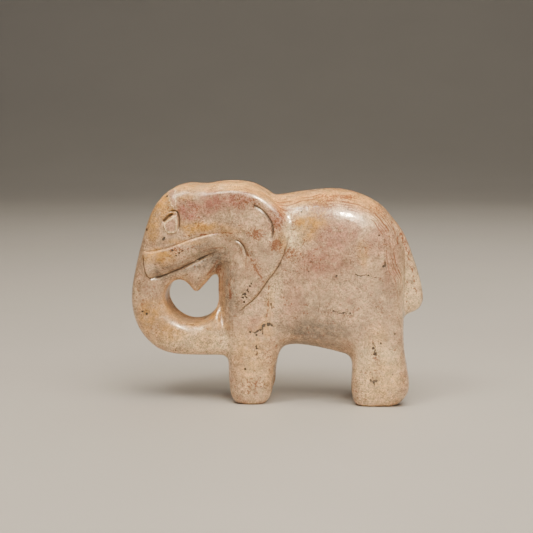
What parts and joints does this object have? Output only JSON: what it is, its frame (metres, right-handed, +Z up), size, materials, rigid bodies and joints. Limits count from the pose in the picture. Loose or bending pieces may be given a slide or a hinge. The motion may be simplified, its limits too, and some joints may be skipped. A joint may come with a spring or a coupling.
{
  "type": "carved elephant figurine",
  "caption": "Standing elephant carved from one stone, with broad ears, low tusks and a trunk curled back to the chest around a heart-shaped hole; it stands on the flat soles of its feet.",
  "frame": {"origin": "on the floor under the middle of the figure, level with the soles", "axes": "+Z up, -X towards the head and trunk, +X towards the tail, Y across; the shown side faces -Y"},
  "size_m": [0.127, 0.0418, 0.0956],
  "materials": {
    "soapstone": "polished soapstone: warm cream with pink, mauve-grey and ochre clouds, thin red-brown veins and small dark pits"
  },
  "bodies": {
    "root": {"elephant": "soapstone"}
  },
  "joints": []
}
